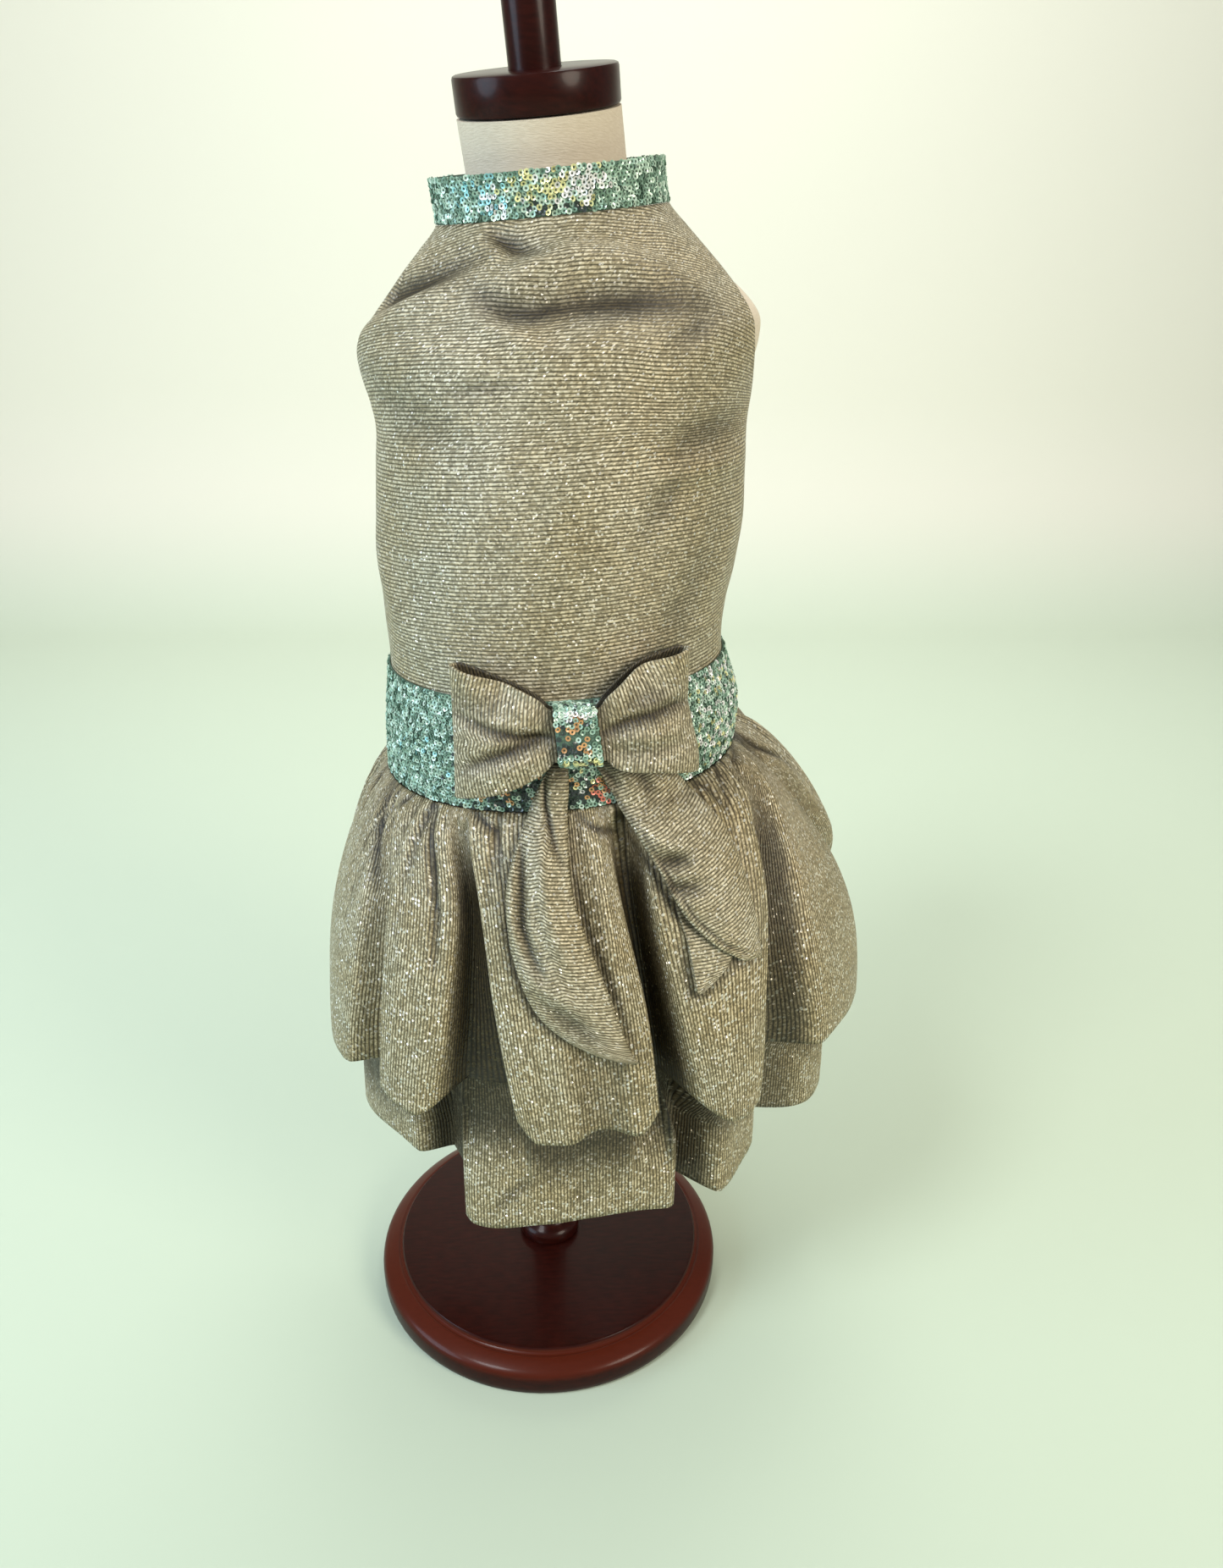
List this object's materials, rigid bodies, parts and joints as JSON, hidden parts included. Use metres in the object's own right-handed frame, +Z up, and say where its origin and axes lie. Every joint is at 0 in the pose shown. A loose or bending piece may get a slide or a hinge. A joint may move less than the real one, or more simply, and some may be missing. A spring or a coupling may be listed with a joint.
{
  "type": "dog dress on a dress form stand",
  "caption": "Sleeveless dog dress with a sequined collar and belt, a bow and a gathered two-tier skirt, worn by a limbless dress form on a turned wooden stand.",
  "frame": {"origin": "middle of the base's underside, on the surface that the stand rests on", "axes": "+Z up along the pole, -Y towards the bow, which is the back of the dress, +X to the right as seen from the bow's side"},
  "size_m": [0.3596, 0.2869, 0.8288],
  "materials": {
    "knit": "ribbed knit with metallic thread, soft sparkle",
    "sequins": "overlapping glossy ring sequins on mesh",
    "form_cloth": "matt fine ribbed jersey",
    "wood": "dark red satin varnish"
  },
  "bodies": {
    "root": {"bodice_back": "knit", "bodice_belly": "knit", "collar": "sequins", "belt": "sequins", "skirt_upper": "knit", "skirt_lower": "knit", "bow_loop_left": "knit", "bow_loop_right": "knit", "bow_knot": "sequins", "tail_left": "knit", "tail_right": "knit", "tail_right_under": "knit", "form": "form_cloth", "neck_cap": "wood", "top_rod": "wood", "pole": "wood", "base": "wood"}
  },
  "joints": []
}
